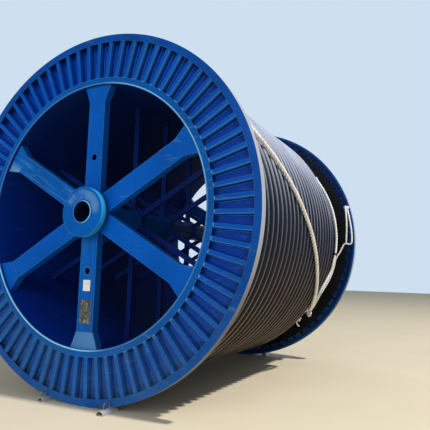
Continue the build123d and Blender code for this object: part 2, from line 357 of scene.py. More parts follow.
def tread_first(tree, place, base):
    """The rolling tread and the outermost edge are rubbed pale."""
    on_tread = between(tree, place["Radius"], rim_radius - 0.0012, rim_radius - 0.0004)
    rolled = noise(tree, stretched(tree, object_place(tree), (3.0, 18.0, 3.0)), 1.0, 4.0)
    bare = mixed(tree, rolled, srgb(144, 150, 160), srgb(186, 188, 192))
    low = between(tree, place["Over Axis"], -0.1, -1.3)
    bare = covered(tree, bare, srgb(104, 90, 78), 0.75, low)
    return covered(tree, base, bare, 0.92, on_tread)


def shaded_inside_face(tree, place, base):
    """The face towards the cable gets painted shade, nearly black, and the tread is rubbed pale."""
    inside = between(tree, place["Beside"], rim_back + 0.002, rim_back - 0.002)
    within = between(tree, place["Radius"], rim_radius - 0.022, rim_radius - 0.040)
    return tread_first(tree, place, covered(tree, base, srgb(6, 16, 44), 0.9, inside, within))


def downward(tree, direction):
    """How far a direction points down, and a little to the right."""
    return calc(tree, "MULTIPLY_ADD", direction[0], floor_glow_slant, product(tree, direction[2], -1.0))


def valley_shade_and_highlights(tree, place, base):
    """Valleys get painted shade, darkest at their outer ends. Under-sides get a painted floor reflection,
    and the lands' lower edges a painted highlight.
    """
    shade_depth = between(tree, place["Beside"], web_land - 0.004, web_land - 0.055)
    # Painted shade: valleys darker the deeper they go.
    base = covered(tree, base, srgb(0, 50, 146), 0.88, shade_depth)
    outer = between(tree, place["Radius"], rim_radius - 0.20, rim_radius - 0.10)
    # Painted shade: valleys darkest at their outer ends, under the rim.
    base = covered(tree, base, srgb(0, 8, 50), 0.6, shade_depth, outer)
    facing = parts_of(tree, node(tree, "ShaderNodeTexCoord").outputs["Normal"])
    forward = calc(tree, "ABSOLUTE", facing[1])
    flank = product(tree, between(tree, forward, 0.85, 0.5),
                    between(tree, downward(tree, facing), 0.42, 0.80))
    shallow = between(tree, place["Beside"], web_land - 0.040, web_land - 0.010)
    # Painted floor reflection: down-facing flanks lighter.
    base = covered(tree, base, srgb(70, 150, 206), 0.65, flank, shallow)
    # Painted highlight on the lands' down-facing lower edges.
    tilt = parts_of(tree, output(tree, "ShaderNodeBevel", {"Radius": 0.010}, samples=4))
    edge = product(tree, between(tree, forward, 0.90, 0.98),
                   between(tree, downward(tree, tilt), 0.10, 0.32))
    return covered(tree, base, srgb(84, 166, 218), 0.8, edge)


def barrel_places(tree, place, _):
    """The barrel's inside is painted dark as shade, lighter towards its ends and lower left, and its lips
    that stand out of the rings get painted highlights in places.
    """
    lip = between(tree, place["Beside"], barrel_end - 0.018, barrel_end - 0.008)
    depth = between(tree, place["Beside"], 0.2, barrel_end - 0.05)
    slope = total(tree, place["Over Axis"], place["Across"])
    low_left = between(tree, slope, -1.9, 0.4, 1.0, 0.0)
    # Painted shade inside: dark navy, lighter towards the ends and the lower left.
    lit = product(tree, depth, calc(tree, "MULTIPLY_ADD", low_left, 0.80, 0.12))
    inside = mixed(tree, lit, srgb(2, 32, 92), srgb(0, 46, 146))
    # Painted highlight on the lips, strongest at the lower left and upper right.
    highlight_side = between(tree, slope, -1.75, -1.15, 1.0, 0.18)
    upper = between(tree, slope, 1.5, 2.1, 0.0, 0.6)
    bright = mixed(tree, calc(tree, "MAXIMUM", highlight_side, upper), srgb(14, 86, 164), srgb(136, 208, 240))
    return mixed(tree, lip, inside, bright)


def hub_places(tree, place, base):
    """The hub disc is scraped pale in an arc over the tube; its edge and the tube's end get painted
    highlights, and the bore painted shade.
    """
    radius, across = place["Radius"], place["Across"]
    arc = product(tree, between(tree, radius, 0.140, 0.168), between(tree, radius, 0.285, 0.240))
    above = between(tree, calc(tree, "MULTIPLY_ADD", across, 0.25, place["Over Axis"]), 0.0, 0.07)
    cloud = between(tree, noise(tree, object_place(tree), 7.0, 4.0), 0.38, 0.60, 0.25, 1.0)
    base = covered(tree, base, srgb(98, 146, 190), 0.62, above, arc, cloud)
    # Painted highlight round the disc's edge.
    disc_edge = between(tree, radius, hub_radius - 0.004, hub_radius - 0.001)
    base = covered(tree, base, srgb(40, 158, 208), 0.8, disc_edge)
    # Painted highlight on the tube's end, strongest on the right.
    on_end = between(tree, place["Beside"], tube_end - 0.003, tube_end - 0.001)
    highlight_side = between(tree, across, -0.03, 0.08, 0.15, 1.0)
    base = covered(tree, base, srgb(136, 214, 238), on_end, highlight_side)
    # Painted shade inside the bore.
    in_bore = between(tree, radius, bore_radius + 0.004, bore_radius + 0.001)
    deep = between(tree, place["Beside"], tube_end - 0.002, tube_end - 0.006)
    return covered(tree, base, srgb(0, 14, 44), 0.9, in_bore, deep)


def hole_shade(tree, place, base):
    """The drive holes get painted shade inside, nearly black."""
    up = calc(tree, "SUBTRACT", calc(tree, "ABSOLUTE", place["Over Axis"]), drive_hole_reach)
    in_hole = between(tree, distance(tree, place["Across"], up),
                      drive_hole_radius + 0.003, drive_hole_radius + 0.001)
    shade_depth = between(tree, place["Beside"], spoke_reach - 0.002, spoke_reach - 0.016)
    return covered(tree, base, srgb(0, 8, 30), 0.95, in_hole, shade_depth)


def bead_places(tree, place, base):
    """Beads are pale beside the inner ring on the right, and blue elsewhere."""
    at_ring = between(tree, place["Radius"], ring_radius + 0.10, ring_radius + 0.04)
    right = between(tree, place["Across"], -0.6, 0.9)
    return covered(tree, srgb(16, 92, 172), base, at_ring, right)


def dusty_spoke(turn, streaks, bleach_from, bleach_to):
    """Places of a spoke that has pale streaks along it, and a flare bleached towards one side."""
    def places(tree, place, base):
        """The streaks, the bleached flare and the painted shade in the drive hole."""
        upright = output(tree, "ShaderNodeVectorRotate", {
            "Vector": object_place(tree), "Center": (0, 0, axis_height), "Angle": -radians(turn)},
            rotation_type="Y_AXIS")
        aside = parts_of(tree, upright)[0]
        flare = between(tree, place["Radius"], flare_start - 0.01, flare_start + 0.01)
        front = between(tree, place["Along"], 0.03 - spoke_reach, 0.01 - spoke_reach)
        grain = noise(tree, stretched(tree, upright, (44.0, 4.0, 1.6)), 1.0, 5.0, 0.6)
        base = covered(tree, base, srgb(84, 146, 190), streaks, between(tree, grain, 0.54, 0.66), front)
        bleach = between(tree, aside, bleach_from, bleach_to)
        base = covered(tree, base, srgb(104, 158, 196), 0.75, flare, front, bleach)
        return hole_shade(tree, place, base)
    return places


def jacket_material():
    """Black polyethylene: each turn's crest is greyed above by dust and a painted sheen, and splashed brown
    below with a painted floor reflection.
    """
    material, tree = new_material("cable_jacket")
    place = object_place(tree)
    facing = parts_of(tree, node(tree, "ShaderNodeTexCoord").outputs["Normal"])
    across_turn, up = calc(tree, "ABSOLUTE", facing[1]), facing[2]
    settled = product(tree, calc(tree, "MAXIMUM", up, 0.0), 0.85)
    crest = between(tree, calc(tree, "SUBTRACT", across_turn, settled), 0.40, 0.04)
    cloud = noise(tree, place, 1.7, 5.0)
    scrape = noise(tree, stretched(tree, place, (1.5, 40.0, 1.5)), 1.0, 4.0)
    base = mixed(tree, cloud, srgb(8, 11, 22), srgb(18, 23, 42))
    # Dust and painted sheen on the upper crests.
    above = product(tree, between(tree, up, -0.25, 0.75, 0.10, 1.0),
                    between(tree, scrape, 0.25, 0.75, 0.5, 1.0))
    base = covered(tree, base, srgb(176, 184, 208), above, crest)
    # Brown below: splash dirt and painted floor reflection.
    base = mixed(tree, between(tree, up, -0.1, -0.8, 0.0, 0.65), base, srgb(32, 22, 14))
    # Thin brown crest lines below: splash dirt and painted floor reflection.
    line = between(tree, across_turn, 0.24, 0.02)
    splash_and_reflection_below = product(tree, between(tree, up, 0.0, -0.75), between(tree, scrape, 0.3, 0.7, 0.5, 0.9))
    base = covered(tree, base, srgb(156, 128, 96), splash_and_reflection_below, line)
    finish(tree, base, between(tree, cloud, 0.3, 0.7, 0.34, 0.50), scrape, 0.002,
           plain={"Specular IOR Level": 0.16})
    return material


def lining_material():
    """Dull black sheet."""
    material, tree = new_material("black_sheet")
    place = object_place(tree)
    cloud = between(tree, noise(tree, place, 2.5, 5.0), 0.35, 0.75)
    base = mixed(tree, cloud, srgb(4, 4, 8), srgb(15, 15, 22))
    settled = placed_group(tree, ground_dust, {"Top": 1.0, "Amount": 0.12})
    base = mixed(tree, settled["Mask"], base, srgb(70, 64, 58))
    finish(tree, base, 0.62, noise(tree, place, 14.0, 4.0), 0.003, plain={"Specular IOR Level": 0.15})
    return material


def chock_material():
    """Bare pipe steel, weathered grey-brown."""
    material, tree = new_material("weathered_pipe")
    place = object_place(tree)
    base = mixed(tree, noise(tree, place, 22.0, 6.0, 0.65), srgb(144, 141, 140), srgb(214, 213, 214))
    rust = between(tree, noise(tree, place, 9.0, 5.0), 0.52, 0.68)
    base = covered(tree, base, srgb(112, 80, 60), 0.35, rust)
    wear = placed_group(tree, edge_wear, {"Width": 0.003, "Breakup": 0.2})
    base = mixed(tree, wear["Mask"], base, srgb(216, 214, 210))
    finish(tree, base, between(tree, noise(tree, place, 30.0), 0.3, 0.7, 0.38, 0.66),
           noise(tree, place, 60.0, 4.0), 0.0012, 0.5, {"Metallic": 0.35})
    return material


def rod_material():
    """Dark bare rod of the chock handles."""
    material, tree = new_material("dark_rod")
    place = object_place(tree)
    base = mixed(tree, noise(tree, place, 40.0, 4.0), srgb(84, 82, 84), srgb(150, 146, 142))
    finish(tree, base, between(tree, noise(tree, place, 55.0), 0.3, 0.7, 0.35, 0.6),
           noise(tree, place, 90.0), 0.0006, 0.5, {"Metallic": 0.6})
    return material


def nameplate_material():
    """Bare plate, tarnished dark, with pale spots towards its two ends."""
    material, tree = new_material("tarnished_plate")
    place = object_place(tree)
    base = mixed(tree, between(tree, noise(tree, place, 16.0, 6.0, 0.7), 0.36, 0.64),
                 srgb(44, 48, 48), srgb(96, 94, 84))
    middle, reach = (plate_low.z + plate_high.z)/2, (plate_high.z - plate_low.z)/2
    off_middle = calc(tree, "ABSOLUTE", calc(tree, "SUBTRACT", parts_of(tree, place)[2], middle))
    near_end = between(tree, off_middle, reach*0.50, reach*0.85, 0.30, 0.85)
    spots = between(tree, noise(tree, place, 42.0, 5.0, 0.7), 0.50, 0.62)
    base = covered(tree, base, srgb(190, 186, 172), spots, near_end)
    finish(tree, base, between(tree, noise(tree, place, 20.0), 0.3, 0.7, 0.35, 0.6),
           noise(tree, place, 70.0, 5.0), 0.001, plain={"Metallic": 0.5})
    return material


def label_material():
    """Bare white label, a little soiled."""
    material, tree = new_material("white_label")
    place = object_place(tree)
    soiled = between(tree, noise(tree, place, 26.0, 5.0), 0.46, 0.74)
    base = covered(tree, srgb(222, 224, 230), srgb(150, 152, 168), 0.5, soiled)
    finish(tree, base, 0.45, noise(tree, place, 60.0, 2.0), 0.0004)
    return material


def fibre_material(name, light, dark, soil):
    """Fibre rope: yarns along each strand and soiled patches."""
    material, tree = new_material(name)
    place = object_place(tree)
    yarns = noise(tree, place, 130.0, 3.0, 0.6)
    base = mixed(tree, between(tree, yarns, 0.30, 0.70), dark, light)
    dirty = between(tree, noise(tree, place, 4.0, 5.0), 0.50, 0.72)
    finish(tree, covered(tree, base, soil, 0.45, dirty), 0.85, yarns, 0.002, 0.6)
    return material


def band_material():
    """Black tape round the rope."""
    material, tree = new_material("black_tape")
    base = mixed(tree, noise(tree, object_place(tree), 60.0), srgb(14, 14, 18), srgb(44, 44, 50))
    finish(tree, base, 0.4)
    return material


rim_paint = paint("rim_paint", srgb(0, 70, 152), dust=0.42, dust_top=1.9, edges=0.45, stains=0.15,
                  places=tread_first)
# The back rim's face towards the cable is painted nearly black as shade.
back_rim_paint = paint("back_rim_paint", srgb(0, 76, 160), dust=0.25, edges=0.3, places=shaded_inside_face)
ring_paint = paint("ring_paint", srgb(0, 82, 162), dust=0.35, dust_top=1.7, edges=0.6, stains=0.15)
rib_paint = paint("rib_paint", srgb(0, 76, 170), dust=0.6, dust_top=2.1, edges=0.15, edge_width=0.008,
                  stains=0.2, places=valley_shade_and_highlights)
spoke_paint = paint("spoke_paint", srgb(0, 84, 178), dust=0.15, dust_top=1.4, edges=0.5,
                    edge_width=0.008, places=hole_shade)
streaked_spoke_paint = paint("streaked_spoke_paint", srgb(0, 86, 170), dust=0.15, edges=0.6,
                             edge_width=0.008, places=dusty_spoke(300.0, 0.42, -0.02, -0.14))
bottom_spoke_paint = paint("bottom_spoke_paint", srgb(0, 84, 168), dust=0.2, scuffs=0.05, edges=0.6,
                           edge_width=0.008, places=dusty_spoke(180.0, 0.12, 1.2, -0.8))
hub_paint = paint("hub_paint", srgb(0, 86, 172), dust=0.1, edges=0.5, roughness=0.34,
                  places=hub_places)
barrel_paint = paint("barrel_paint", srgb(0, 30, 120), dust=0.1, dust_top=1.0, edges=0.0, scuffs=0.05,
                     roughness=0.7, specular=0.05, places=barrel_places)
# The inner frames are painted dark navy as shade inside the barrel.
shaded_frame_paint = paint("shaded_frame_paint", srgb(2, 34, 112), dust=0.05, edges=0.3, scuffs=0.05, roughness=0.6,
                    specular=0.08)
bead_paint = paint("bead_paint", srgb(96, 172, 224), dust=0.3, edges=0.0, scuffs=0.0,
                   places=bead_places)
jacket = jacket_material()
black_sheet = lining_material()
pipe_steel = chock_material()
rod_steel = rod_material()
plate_metal = nameplate_material()
label_white = label_material()
cream_fibre = fibre_material("cream_fibre", srgb(252, 251, 248), srgb(234, 231, 224), srgb(210, 198, 180))
white_fibre = fibre_material("white_fibre", srgb(250, 250, 250), srgb(226, 227, 230), srgb(200, 197, 190))
tape = band_material()


def coat(material, *names):
    """Give CAD nodes their finish."""
    for name in names:
        for place in nodes[name].material_slots:
            place.material = material


def coat_frame():
    """Finishes of the nodes whose shape is shown as it is."""
    for side in ("front", "back"):
        coat(rim_paint if side == "front" else back_rim_paint, f"{side}_rim")
        coat(ring_paint, f"{side}_inner_ring")
        coat(rib_paint, f"{side}_corrugated_web")
        coat(black_sheet, f"{side}_lining")
        coat(hub_paint, f"{side}_hub")
        coat(spoke_paint, *[f"{side}_spoke_{k + 1}" for k in range(spoke_count)])
        for hand in ("left", "right"):
            coat(pipe_steel, f"{side}_{hand}_chock")
            coat(rod_steel, f"{side}_{hand}_chock_handle")
    coat(streaked_spoke_paint, "front_spoke_6")
    coat(bottom_spoke_paint, "front_spoke_4")
    coat(barrel_paint, "barrel")
    coat(hub_paint, "centre_tube")
    coat(shaded_frame_paint, *[name for name in nodes if name.startswith("inner_frame")])
    coat(plate_metal, "nameplate")


# Making pieces

def linked(name, data):
    """Object of some data, put in the scene."""
    made = bpy.data.objects.new(name, data)
    bpy.context.scene.collection.objects.link(made)
    return made


def piece(name, mesh):
    """Object of a finished mesh that rides on the drum."""
    made = linked(name, mesh)
    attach(made, "root")
    return made


def as_shown(holder):
    """Plain mesh of an object with its modifiers or its curve worked out."""
    seen = holder.evaluated_get(bpy.context.evaluated_depsgraph_get())
    return bpy.data.meshes.new_from_object(seen)


def finished(shape, name, material, rounded=True):
    """Mesh of a bmesh, with its faces pointing outwards."""
    bmesh.ops.recalc_face_normals(shape, faces=shape.faces)
    mesh = bpy.data.meshes.new(name)
    shape.to_mesh(mesh)
    shape.free()
    mesh.materials.append(material)
    for face in mesh.polygons:
        face.use_smooth = rounded
    return mesh


def wrapped(shape, rings, closed=True):
    """Faces between rings of points. Closed joins the last ring to the first."""
    for here, there in zip(rings, rings[1:] + rings[:1] if closed else rings[1:]):
        for k in range(len(here)):
            following = (k + 1) % len(here)
            shape.faces.new((here[k], here[following], there[following], there[k]))


def joined(name, meshes, material):
    """Several meshes as one."""
    shape = bmesh.new()
    for mesh in meshes:
        shape.from_mesh(mesh)
    made = bpy.data.meshes.new(name)
    shape.to_mesh(made)
    shape.free()
    made.materials.append(material)
    for face in made.polygons:
        face.material_index = 0
    return made


def geometry_group(name, inputs):
    """Empty geometry tree with its named inputs, a material and its output."""
    tree, given, out = group(name, dict(inputs, Material="NodeSocketMaterial"),
                             {"Geometry": "NodeSocketGeometry"}, "GeometryNodeTree")
    return tree, given.outputs, out


def ended(tree, geometry, material, out):
    """Last nodes of every geometry tree."""
    rounded = output(tree, "GeometryNodeSetShadeSmooth", {"Geometry": geometry})
    real = output(tree, "GeometryNodeRealizeInstances", {0: rounded})
    last = output(tree, "GeometryNodeSetMaterial", {"Geometry": real, "Material": material})
    put_out(tree, out, {"Geometry": last})


def grown(name, tree, values, start=None):
    """Plain mesh that a geometry tree makes from a start object's data, or from nothing."""
    holder = start or linked(name + "_start", bpy.data.meshes.new(name + "_start"))
    modifier = holder.modifiers.new("grow", "NODES")
    modifier.node_group = tree
    for item in tree.interface.items_tree:
        if item.item_type == "SOCKET" and item.in_out == "INPUT" and item.name in values:
            modifier[item.identifier] = values[item.name]
    mesh = as_shown(holder)
    mesh.name = name
    holder.modifiers.remove(modifier)
    bpy.data.objects.remove(holder)
    return mesh


def tube_round(tree, curve, section):
    """Tube with closed ends along a curve."""
    return output(tree, "GeometryNodeCurveToMesh", {
        "Curve": curve, "Profile Curve": section, "Fill Caps": True})


def round_section(tree, sides, radius):
    """Circle that a tube is swept from."""
    return output(tree, "GeometryNodeCurvePrimitiveCircle", {"Resolution": sides, "Radius": radius})


# Cable

def wound_cable_tree():
    """One layer of cable: level turns that all step over by one pitch in the same stretch."""
    tree, source, out = geometry_group("wound_cable", {
        "Turns": 1.0, "Lead Turns": 0.0, "Pitch": turn_pitch, "Start": 0.0, "Radius": 1.0,
        "Rise": layer_rise, "Shift": 0.0, "Cable Radius": cable_diameter/2, "Axis Height": 0.0,
        "End Angle": 0.0, "Steps": float(steps_per_turn)})
    whole_turns = total(tree, source["Turns"], source["Lead Turns"])
    count = calc(tree, "MULTIPLY_ADD", whole_turns, source["Steps"], 1.0)
    line = output(tree, "GeometryNodeCurvePrimitiveLine")
    route = output(tree, "GeometryNodeResampleCurve", {"Curve": line, "Count": count})
    index = output(tree, "GeometryNodeInputIndex")
    turn = calc(tree, "SUBTRACT", calc(tree, "DIVIDE", index, source["Steps"]), source["Lead Turns"])
    level, share = calc(tree, "FLOOR", turn), calc(tree, "FRACT", turn)
    step = between(tree, share, 1.0 - crossover_share, 1.0)
    passed = calc(tree, "MAXIMUM", total(tree, level, step), 0.0)
    climb = between(tree, turn, 0.0, crossover_share, 1.0, 0.0)
    along = total(tree, source["Start"], product(tree, passed, source["Pitch"]),
                  product(tree, climb, source["Shift"]))
    radius = calc(tree, "SUBTRACT", source["Radius"], product(tree, climb, source["Rise"]))
    angle = calc(tree, "MULTIPLY_ADD", share, tau, source["End Angle"])
    across = product(tree, radius, calc(tree, "COSINE", angle))
    up = calc(tree, "MULTIPLY_ADD", radius, calc(tree, "SINE", angle), source["Axis Height"])
    place = output(tree, "ShaderNodeCombineXYZ", {0: across, 1: along, 2: up})
    laid = output(tree, "GeometryNodeSetPosition", {"Geometry": route, "Position": place})
    section = round_section(tree, cable_sides, source["Cable Radius"])
    ended(tree, tube_round(tree, laid, section), source["Material"], out)
    return tree


def turned_mesh(name, section, material):
    """Closed mesh turned about the drum's axis from (Y, radius) points."""
    shape = bmesh.new()
    rings = []
    for k in range(steps_per_turn):
        angle = tau*k/steps_per_turn
        rings.append([shape.verts.new((radius*cos(angle), y, axis_height + radius*sin(angle)))
                      for y, radius in section])
    wrapped(shape, rings)
    return finished(shape, name, material, rounded=False)


def make_cable():
    """The turns in sight as round cable, over a plain core of the turns below them."""
    tree = wound_cable_tree()
    shared = {"Cable Radius": cable_diameter/2, "Axis Height": axis_height, "Rise": layer_rise,
              "Shift": turn_pitch/2, "End Angle": radians(crossover_end_angle),
              "Steps": float(steps_per_turn), "Material": jacket}
    top_radius = winding_radius - cable_diameter/2
    first_turn = winding_start + turn_pitch/2
    last_turn = winding_end - turn_pitch
    top = grown("top_layer", tree, dict(shared, Turns=float(top_layer_turns), Pitch=turn_pitch,
                                        Start=first_turn, Radius=top_radius))
    lower = grown("second_layer", tree, dict(
        shared, **{"Turns": float(lower_turns_in_sight), "Lead Turns": 1.0, "Pitch": -turn_pitch,
                   "Start": last_turn, "Radius": top_radius - layer_rise}))
    top_end = winding_start + (top_layer_turns - 0.5)*turn_pitch
    under_top = top_radius - core_sink*cable_diameter/2
    under_second = under_top - layer_rise
    under_third = under_second - layer_rise/2
    inner = barrel_radius + core_gap
    core = turned_mesh("core", [
        (winding_start, inner), (winding_start, under_top), (top_end, under_top),
        (top_end, under_second), (last_turn, under_second), (last_turn, under_third),
        (winding_end, under_third), (winding_end, inner)], jacket)
    cable = piece("wound_cable", joined("wound_cable", [top, lower, core], jacket))
    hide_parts("cable_winding")


# Ropes as the part's source has them: (angle above the horizontal, Y) on the cable, and
# (angle, radius, Y) off it

cream_route = [(38.0, -2267.3), (38.0, -2228), (37.3, -2152), (35.4, -2020), (32.0, -1800),
               (27.2, -1480), (22.5, -1190), (17.0, -915), (11.2, -645), (5.2, -385), (-0.8, -95),
               (-6.8, 160), (-12.6, 410), (-18.5, 650), (-24.4, 900), (-28.6, 1065), (-31.9, 1170)]
cream_tuck = [(-34.2, 2101, 1236), (-36.0, 2094, 1304), (-37.7, 2052, 1342), (-39.6, 2002, 1362),
              (-41.8, 1973, 1368), (-44.4, 1963, 1362), (-47.0, 1961.5, 1350)]
white_route = [(38.0, 2267.3), (38.0, 2217), (37.4, 2165), (36.2, 2126), (34.6, 2106),
               (32.4, 2098), (29.4, 2096), (25.2, 2106), (20.0, 2122), (14.1, 2122), (7.8, 2103),
               (1.2, 2096), (-4.4, 2082), (-8.8, 2066), (-13.0, 2042), (-16.4, 2048),
               (-19.6, 2004), (-23.3, 1932), (-27.0, 1874), (-30.6, 1870), (-34.2, 1944),
               (-37.8, 2056), (-40.8, 2148), (-42.8, 2208)]
lashing_start = [(14.8, 2204, 2279.6), (14.8, 2204, 2260), (14.52, 2204, 2242),
                 (13.9, 2204, 2231), (12.6, 2204, 2227), (10.2, 2205, 2228), (6.2, 2207, 2232),
                 (2.4, 2208, 2236), (-0.1, 2207, 2238), (-1.5, 2198, 2238), (-1.95, 2171, 2238),
                 (-1.75, 2132, 2237), (-1.55, 2103, 2236), (-1.76, 2076, 2235),
                 (-2.33, 2055, 2233), (-3.9, 2035, 2227), (-6.5, 2004, 2212)]
lashing_route = [(-9.9, 2186), (-13.8, 2193), (-17.8, 2188), (-21.6, 2158), (-25.0, 2112),
                 (-28.2, 2056), (-31.4, 2048), (-34.8, 2090), (-38.0, 2160), (-40.6, 2222)]
stay_route = [(17.0, 2186, 2279.6), (17.0, 2186, 2261), (16.73, 2185, 2243), (16.1, 2181, 2230),
              (14.8, 2173, 2220), (12.4, 2160, 2213), (9.2, 2145, 2209), (6.0, 2130, 2209),
              (3.0, 2116, 2213), (0.7, 2107, 2224), (-1.06, 2101, 2235)]
tail_route = [(-47.9, 1872), (-49.4, 1930), (-50.9, 2006)]
tail_end = [(-52.1, 1966, 2096), (-53.0, 1996, 2176), (-53.4, 2020, 2234), (-53.4, 2020, 2267.3)]
lining_knot_at = (-44.4, 1972, 2222)
rim_knot_at = (15.9, 2194, 2246)
tail_knot_at = (-47.6, 1964, 1866)
tape_at = (-7.7, second_layer_mm + 26, 2071)
tape_radius, tape_lap, tape_half_width = 0.0255, 0.004, 0.020


def on_cable(route, rope_mm, layer_mm):
    """Points of a rope that lies on a layer of the cable, as (angle, radius, Y)."""
    lying = layer_mm + rope_mm/2 + rope_clearance_mm
    points = []
    for k, (angle, y) in enumerate(route):
        beside = [abs(route[j][0] - angle) for j in (k - 1, k + 1) if 0 <= j < len(route)]
        points.append((angle, lying/cos(radians(max(beside)/2)), y))
    return points


def at_drum(angle, radius_mm, y_mm):
    """Point in metres from its angle about the axis, radius and Y."""
    turned = Vector((radius_mm*cos(radians(angle)), y_mm, radius_mm*sin(radians(angle))))
    return turned/1000 + Vector((0, 0, axis_height))


def rope_curve(name):
    """Empty curve in space."""
    curve = bpy.data.curves.new(name, "CURVE")
    curve.dimensions = "3D"
    return curve


def spline_of(name, points):
    """Curve object with one NURBS spline that has the points as its control points."""
    curve = rope_curve(name)
    curve.resolution_u = 10
    spline = curve.splines.new("NURBS")
    spline.points.add(len(points) - 1)
    for place, point in zip(spline.points, points):
        place.co = (*at_drum(*point), 1.0)
    spline.order_u = 3
    spline.use_endpoint_u = True
    return linked(name, curve)


def laid_rope_tree():
    """Strands twisted about a curve."""
    tree, source, out = geometry_group("laid_rope", {
        "Geometry": "NodeSocketGeometry", "Diameter": 0.03, "Lay": 0.12})
    spacing = calc(tree, "DIVIDE", source["Lay"], points_per_lay)
    route = output(tree, "GeometryNodeResampleCurve", {"Curve": source["Geometry"], "Length": spacing},
                   mode="LENGTH")
    length = node(tree, "GeometryNodeSplineParameter").outputs["Length"]
    normal = output(tree, "GeometryNodeInputNormal")
    tangent = output(tree, "GeometryNodeInputTangent")
    side = output(tree, "ShaderNodeVectorMath", {0: tangent, 1: normal}, operation="CROSS_PRODUCT")
    twist = calc(tree, "DIVIDE", product(tree, length, tau), source["Lay"])
    section = round_section(tree, strand_sides, product(tree, source["Diameter"], strand_share))
    offset = product(tree, source["Diameter"], offset_share)
    gathered = node(tree, "GeometryNodeJoinGeometry")
    for k in range(strand_count):
        angle = total(tree, twist, tau*k/strand_count)
        first = scaled(tree, normal, product(tree, calc(tree, "COSINE", angle), offset))
        second = scaled(tree, side, product(tree, calc(tree, "SINE", angle), offset))
        moved = output(tree, "ShaderNodeVectorMath", {0: first, 1: second}, operation="ADD")
        strand = output(tree, "GeometryNodeSetPosition", {"Geometry": route, "Offset": moved})
        tree.links.new(tube_round(tree, strand, section), gathered.inputs[0])
    ended(tree, gathered.outputs[0], source["Material"], out)
    return tree


rope_tree = laid_rope_tree()


def make_rope(name, node_name, points, diameter_mm, material):
    """A laid rope on its route."""
    route = spline_of(name + "_route", points)
    bare = as_shown(route)
    bpy.data.meshes.remove(bare)
    diameter = diameter_mm/1000
    mesh = grown(name, rope_tree, {"Diameter": diameter, "Lay": lay_share*diameter, "Material": material},
                 route)
    rope = piece(name, mesh)
    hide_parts(node_name)


def make_knot(name, place, size, thickness, flat):
    """Trefoil knot of white rope, pulled tight."""
    curve = rope_curve(name)
    curve.bevel_depth = thickness/2
    curve.bevel_resolution = 3
    steps = 48
    spline = curve.splines.new("POLY")
    spline.points.add(steps - 1)
    for k, point in enumerate(spline.points):
        t = tau*k/steps
        knot = Vector((sin(t) + 2*sin(2*t), -sin(3*t)*flat, cos(t) - 2*cos(2*t)))/3*size/2
        point.co = (*(at_drum(*place) + knot), 1.0)
    spline.use_cyclic_u = True
    holder = linked(name + "_route", curve)
    mesh = as_shown(holder)
    bpy.data.objects.remove(holder)
    mesh.materials.clear()
    mesh.materials.append(white_fibre)
    for face in mesh.polygons:
        face.use_smooth = True
    return piece(name, mesh)


def make_ropes():
    """The cream rope over the cable, and the white ropes at the back flange."""
    lining_knot = make_knot("lining_knot", lining_knot_at, 0.085, 0.030, 0.8)
    rim_knot = make_knot("rim_knot", rim_knot_at, 0.090, 0.026, 0.5)
    tail_knot = make_knot("tail_knot", tail_knot_at, 0.070, 0.026, 0.8)
    cream_points = on_cable(cream_route, cream_mm, top_layer_mm) + cream_tuck
    white_points = on_cable(white_route, white_mm, second_layer_mm)
    lashing_points = lashing_start + on_cable(lashing_route, thin_mm, second_layer_mm)
    tail_points = on_cable(tail_route, thin_mm, second_layer_mm) + tail_end
    make_rope("cream_lashing", "cream_rope", cream_points, cream_mm, cream_fibre)
    make_rope("white_line", "white_rope", white_points, white_mm, white_fibre)
    make_rope("rim_lashing", "lashing_rope", lashing_points, thin_mm, white_fibre)
    make_rope("rim_stay", "lashing_stay", stay_route, thin_mm, white_fibre)
    make_rope("loose_tail", "lashing_tail", tail_points, thin_mm, white_fibre)


def make_tape_band():
    """Tape wound round the white line and the lashing beside it."""
    shape = bmesh.new()
    centre = at_drum(*tape_at)
    steps, sides = 20, 6
    rings = []
    for k in range(steps):
        angle = tau*k/steps
        ring_points = []
        for j in range(sides):
            bend = tau*j/sides
            reach = tape_radius + tape_lap*cos(bend)
            ring_points.append(shape.verts.new(centre + Vector((
                reach*cos(angle), reach*sin(angle), tape_half_width*sin(bend)))))
        rings.append(ring_points)
    wrapped(shape, rings)
    piece("tape_band", finished(shape, "tape_band", tape))


# Details of the flanges

def bead_ring_tree():
    """Weld beads set at even angles round the drum's axis."""
    tree, source, out = geometry_group("bead_ring", {
        "Count": float(rib_count), "Radius": 1.7, "Along": 0.0, "Axis Height": 0.0,
        "Length": bead_length, "Height": bead_height})
    index = output(tree, "GeometryNodeInputIndex")
    angle = calc(tree, "DIVIDE", product(tree, index, tau), source["Count"])
    across = product(tree, source["Radius"], calc(tree, "SINE", angle))
    up = calc(tree, "MULTIPLY_ADD", source["Radius"], calc(tree, "COSINE", angle), source["Axis Height"])
    place = output(tree, "ShaderNodeCombineXYZ", {0: across, 1: source["Along"], 2: up})
    points = output(tree, "GeometryNodePoints", {"Count": source["Count"], "Position": place})
    bead = output(tree, "GeometryNodeMeshUVSphere", {"Segments": 8, "Rings": 5, "Radius": 0.5})
    size = output(tree, "ShaderNodeCombineXYZ",
                  {0: source["Length"], 1: source["Height"], 2: source["Height"]})
    turn = output(tree, "ShaderNodeCombineXYZ", {1: angle})
    set_out = output(tree, "GeometryNodeInstanceOnPoints", {
        "Points": points, "Instance": bead, "Rotation": turn, "Scale": size})
    ended(tree, set_out, source["Material"], out)
    return tree


